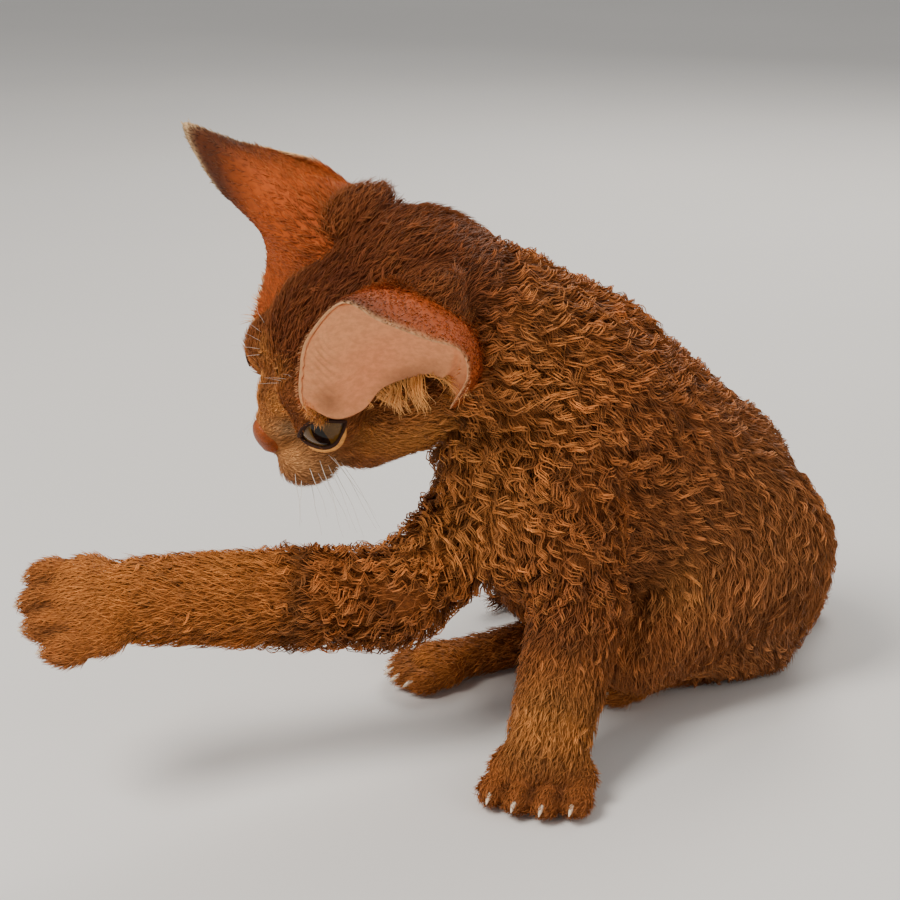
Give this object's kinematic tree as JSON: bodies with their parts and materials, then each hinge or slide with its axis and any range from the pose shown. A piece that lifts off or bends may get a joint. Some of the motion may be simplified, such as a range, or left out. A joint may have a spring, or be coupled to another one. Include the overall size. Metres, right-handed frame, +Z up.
{
  "type": "curly-coated kitten, still model",
  "caption": "Life-size still model of a curly-coated kitten that sits leaning on one forepaw and reaches out sideways with the other, head turned and tilted.",
  "frame": {"origin": "centre of the bounding box, at floor level", "axes": "+X towards the haunches, along the whole length from the reaching paw to the rump, -Y the side that the near foreleg stands on, +Z up"},
  "size_m": [0.2538, 0.1942, 0.1821],
  "materials": {
    "coat": "dense curly fur, rufous brown ticked with gold",
    "face_fur": "short ticked fur with a cream muzzle",
    "paw_fur": "short cinnamon fur",
    "ear_skin": "bare pink-tan skin inside, thin short fur outside",
    "eye": "wet, olive brown iris"
  },
  "bodies": {
    "root": {"eye_left": "eye", "eye_right": "eye", "head": "face_fur", "ear_left": "ear_skin", "ear_right": "ear_skin", "fore_paw_left": "paw_fur", "fore_paw_right": "paw_fur", "hind_paw_left": "paw_fur", "hind_paw_right": "paw_fur", "forearm_left": "coat", "upper_arm_left": "coat", "hind_foot_left": "coat", "shank_left": "coat", "thigh_left": "coat", "forearm_right": "coat", "upper_arm_right": "coat", "hind_foot_right": "coat", "shank_right": "coat", "thigh_right": "coat", "tail_base": "coat", "tail_middle": "coat", "tail_tip": "coat", "neck": "coat", "chest": "coat", "loin": "coat", "rump": "coat"}
  },
  "joints": []
}
